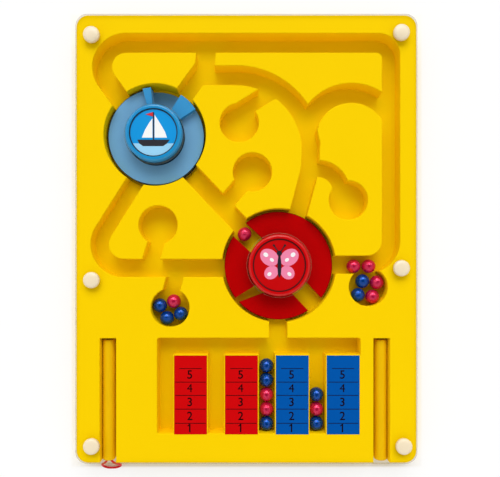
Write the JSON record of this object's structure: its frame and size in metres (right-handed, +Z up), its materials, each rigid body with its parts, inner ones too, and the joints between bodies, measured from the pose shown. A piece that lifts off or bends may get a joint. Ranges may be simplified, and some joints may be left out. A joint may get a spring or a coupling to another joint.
{
  "type": "bead maze",
  "caption": "Flat wooden bead maze board: magnet pens draw beads along covered channels, past turntables with knobs, into a counting window with number labels.",
  "frame": {"origin": "centre of the board's underside", "axes": "+Z up out of the clear cover, +Y towards the edge away from the pens, +X to the right"},
  "size_m": [0.228, 0.31, 0.0226],
  "materials": {
    "board_paint": "satin yellow paint",
    "floor_paint": "satin yellow paint",
    "pen_paint": "satin yellow paint",
    "clear_cover": "clear and polished",
    "cap_white": "glossy",
    "steel": "plain",
    "magnet": "plated",
    "label_red": "printed film",
    "label_blue": "printed film",
    "blue_plastic": "glossy",
    "red_plastic": "glossy",
    "blue_picture": "printed film",
    "red_picture": "printed film",
    "bead_blue": "pearly gloss",
    "bead_red": "pearly gloss",
    "cord": "braided"
  },
  "bodies": {
    "board": {"base_panel": "floor_paint", "outer_frame": "board_paint", "top_left_island": "board_paint", "top_right_island": "board_paint", "centre_island": "board_paint", "right_island": "board_paint", "lower_left_island": "board_paint", "clear_cover": "clear_cover", "cover_screws": "steel", "screw_caps": "cap_white", "number_label_1": "label_red", "number_label_2": "label_red", "number_label_3": "label_blue", "number_label_4": "label_blue", "blue_pivot": "steel", "red_pivot": "steel"},
    "blue_turntable": {"blue_turntable": "blue_plastic", "blue_picture_plate": "blue_picture"},
    "red_turntable": {"red_turntable": "red_plastic", "red_picture_plate": "red_picture"},
    "left_pen": {"left_pen": "pen_paint", "left_pen_magnet": "magnet", "left_pen_cord": "cord"},
    "right_pen": {"right_pen": "pen_paint", "right_pen_magnet": "magnet"},
    "left_store_bead_1": {"left_store_bead_1": "bead_blue"},
    "left_store_bead_2": {"left_store_bead_2": "bead_blue"},
    "left_store_bead_3": {"left_store_bead_3": "bead_blue"},
    "left_store_bead_4": {"left_store_bead_4": "bead_red"},
    "right_store_bead_1": {"right_store_bead_1": "bead_blue"},
    "right_store_bead_2": {"right_store_bead_2": "bead_red"},
    "right_store_bead_3": {"right_store_bead_3": "bead_red"},
    "right_store_bead_4": {"right_store_bead_4": "bead_blue"},
    "lane_bead_1": {"lane_bead_1": "bead_red"},
    "lane_bead_2": {"lane_bead_2": "bead_red"},
    "column_3_bead_1": {"column_3_bead_1": "bead_blue"},
    "column_3_bead_2": {"column_3_bead_2": "bead_red"},
    "column_3_bead_3": {"column_3_bead_3": "bead_red"},
    "column_3_bead_4": {"column_3_bead_4": "bead_blue"},
    "column_3_bead_5": {"column_3_bead_5": "bead_blue"},
    "column_4_bead_1": {"column_4_bead_1": "bead_blue"},
    "column_4_bead_2": {"column_4_bead_2": "bead_red"},
    "column_4_bead_3": {"column_4_bead_3": "bead_blue"},
    "turntable_bead": {"turntable_bead": "bead_red"}
  },
  "joints": [
    {"name": "blue_turntable_spin", "type": "hinge", "parent": "board", "child": "blue_turntable", "pos_m": [-0.0615, 0.0701, 0.011], "axis": [0, 0, 1], "continuous": true},
    {"name": "red_turntable_spin", "type": "hinge", "parent": "board", "child": "red_turntable", "pos_m": [0.0218, -0.0177, 0.011], "axis": [0, 0, 1], "continuous": true},
    {"name": "left_pen_slide", "type": "slide", "parent": "board", "child": "left_pen", "axis": [0, -1, 0], "range_m": [0, 0.09]},
    {"name": "right_pen_slide", "type": "slide", "parent": "board", "child": "right_pen", "axis": [0, -1, 0], "range_m": [0, 0.09]},
    {"name": "left_store_bead_1_spin", "type": "hinge", "parent": "board", "child": "left_store_bead_1", "pos_m": [-0.05902, -0.04481, 0.01008], "axis": [0, 0, 1], "continuous": true},
    {"name": "left_store_bead_2_spin", "type": "hinge", "parent": "board", "child": "left_store_bead_2", "pos_m": [-0.05414, -0.0534, 0.01008], "axis": [0, 0, 1], "continuous": true},
    {"name": "left_store_bead_3_spin", "type": "hinge", "parent": "board", "child": "left_store_bead_3", "pos_m": [-0.04468, -0.05055, 0.01008], "axis": [0, 0, 1], "continuous": true},
    {"name": "right_store_bead_1_spin", "type": "hinge", "parent": "board", "child": "right_store_bead_1", "pos_m": [0.0761, -0.0377, 0.01008], "axis": [0, 0, 1], "continuous": true},
    {"name": "right_store_bead_2_spin", "type": "hinge", "parent": "board", "child": "right_store_bead_2", "pos_m": [0.08592, -0.0388, 0.01008], "axis": [0, 0, 1], "continuous": true},
    {"name": "right_store_bead_3_spin", "type": "hinge", "parent": "board", "child": "right_store_bead_3", "pos_m": [0.08903, -0.02909, 0.01008], "axis": [0, 0, 1], "continuous": true},
    {"name": "right_store_bead_4_spin", "type": "hinge", "parent": "board", "child": "right_store_bead_4", "pos_m": [0.07917, -0.02831, 0.01008], "axis": [0, 0, 1], "continuous": true},
    {"name": "left_store_bead_4_slide", "type": "slide", "parent": "board", "child": "left_store_bead_4", "axis": [-0.2795, 0.9601, 0], "range_m": [0, 0.006]},
    {"name": "lane_bead_1_slide", "type": "slide", "parent": "board", "child": "lane_bead_1", "axis": [-1, 0, 0], "range_m": [0, 0.007]},
    {"name": "lane_bead_2_slide", "type": "slide", "parent": "board", "child": "lane_bead_2", "axis": [0.8189, 0.5739, 0], "range_m": [0, 0.012]},
    {"name": "column_3_bead_1_slide", "type": "slide", "parent": "board", "child": "column_3_bead_1", "axis": [0, 1, 0], "range_m": [0, 0.002]},
    {"name": "column_3_bead_2_slide", "type": "slide", "parent": "column_3_bead_1", "child": "column_3_bead_2", "axis": [0, 1, 0], "range_m": [0, 0.002]},
    {"name": "column_3_bead_3_slide", "type": "slide", "parent": "column_3_bead_2", "child": "column_3_bead_3", "axis": [0, 1, 0], "range_m": [0, 0.002]},
    {"name": "column_3_bead_4_slide", "type": "slide", "parent": "column_3_bead_3", "child": "column_3_bead_4", "axis": [0, 1, 0], "range_m": [0, 0.002]},
    {"name": "column_3_bead_5_slide", "type": "slide", "parent": "column_3_bead_4", "child": "column_3_bead_5", "axis": [0, 1, 0], "range_m": [0, 0.005]},
    {"name": "column_4_bead_1_slide", "type": "slide", "parent": "board", "child": "column_4_bead_1", "axis": [0, 1, 0], "range_m": [0, 0.009]},
    {"name": "column_4_bead_2_slide", "type": "slide", "parent": "column_4_bead_1", "child": "column_4_bead_2", "axis": [0, 1, 0], "range_m": [0, 0.009]},
    {"name": "column_4_bead_3_slide", "type": "slide", "parent": "column_4_bead_2", "child": "column_4_bead_3", "axis": [0, 1, 0], "range_m": [0, 0.012]},
    {"name": "turntable_bead_slide", "type": "slide", "parent": "red_turntable", "child": "turntable_bead", "axis": [-0.7314, 0.682, 0], "range_m": [-0.0044, 0.0016]}
  ]
}
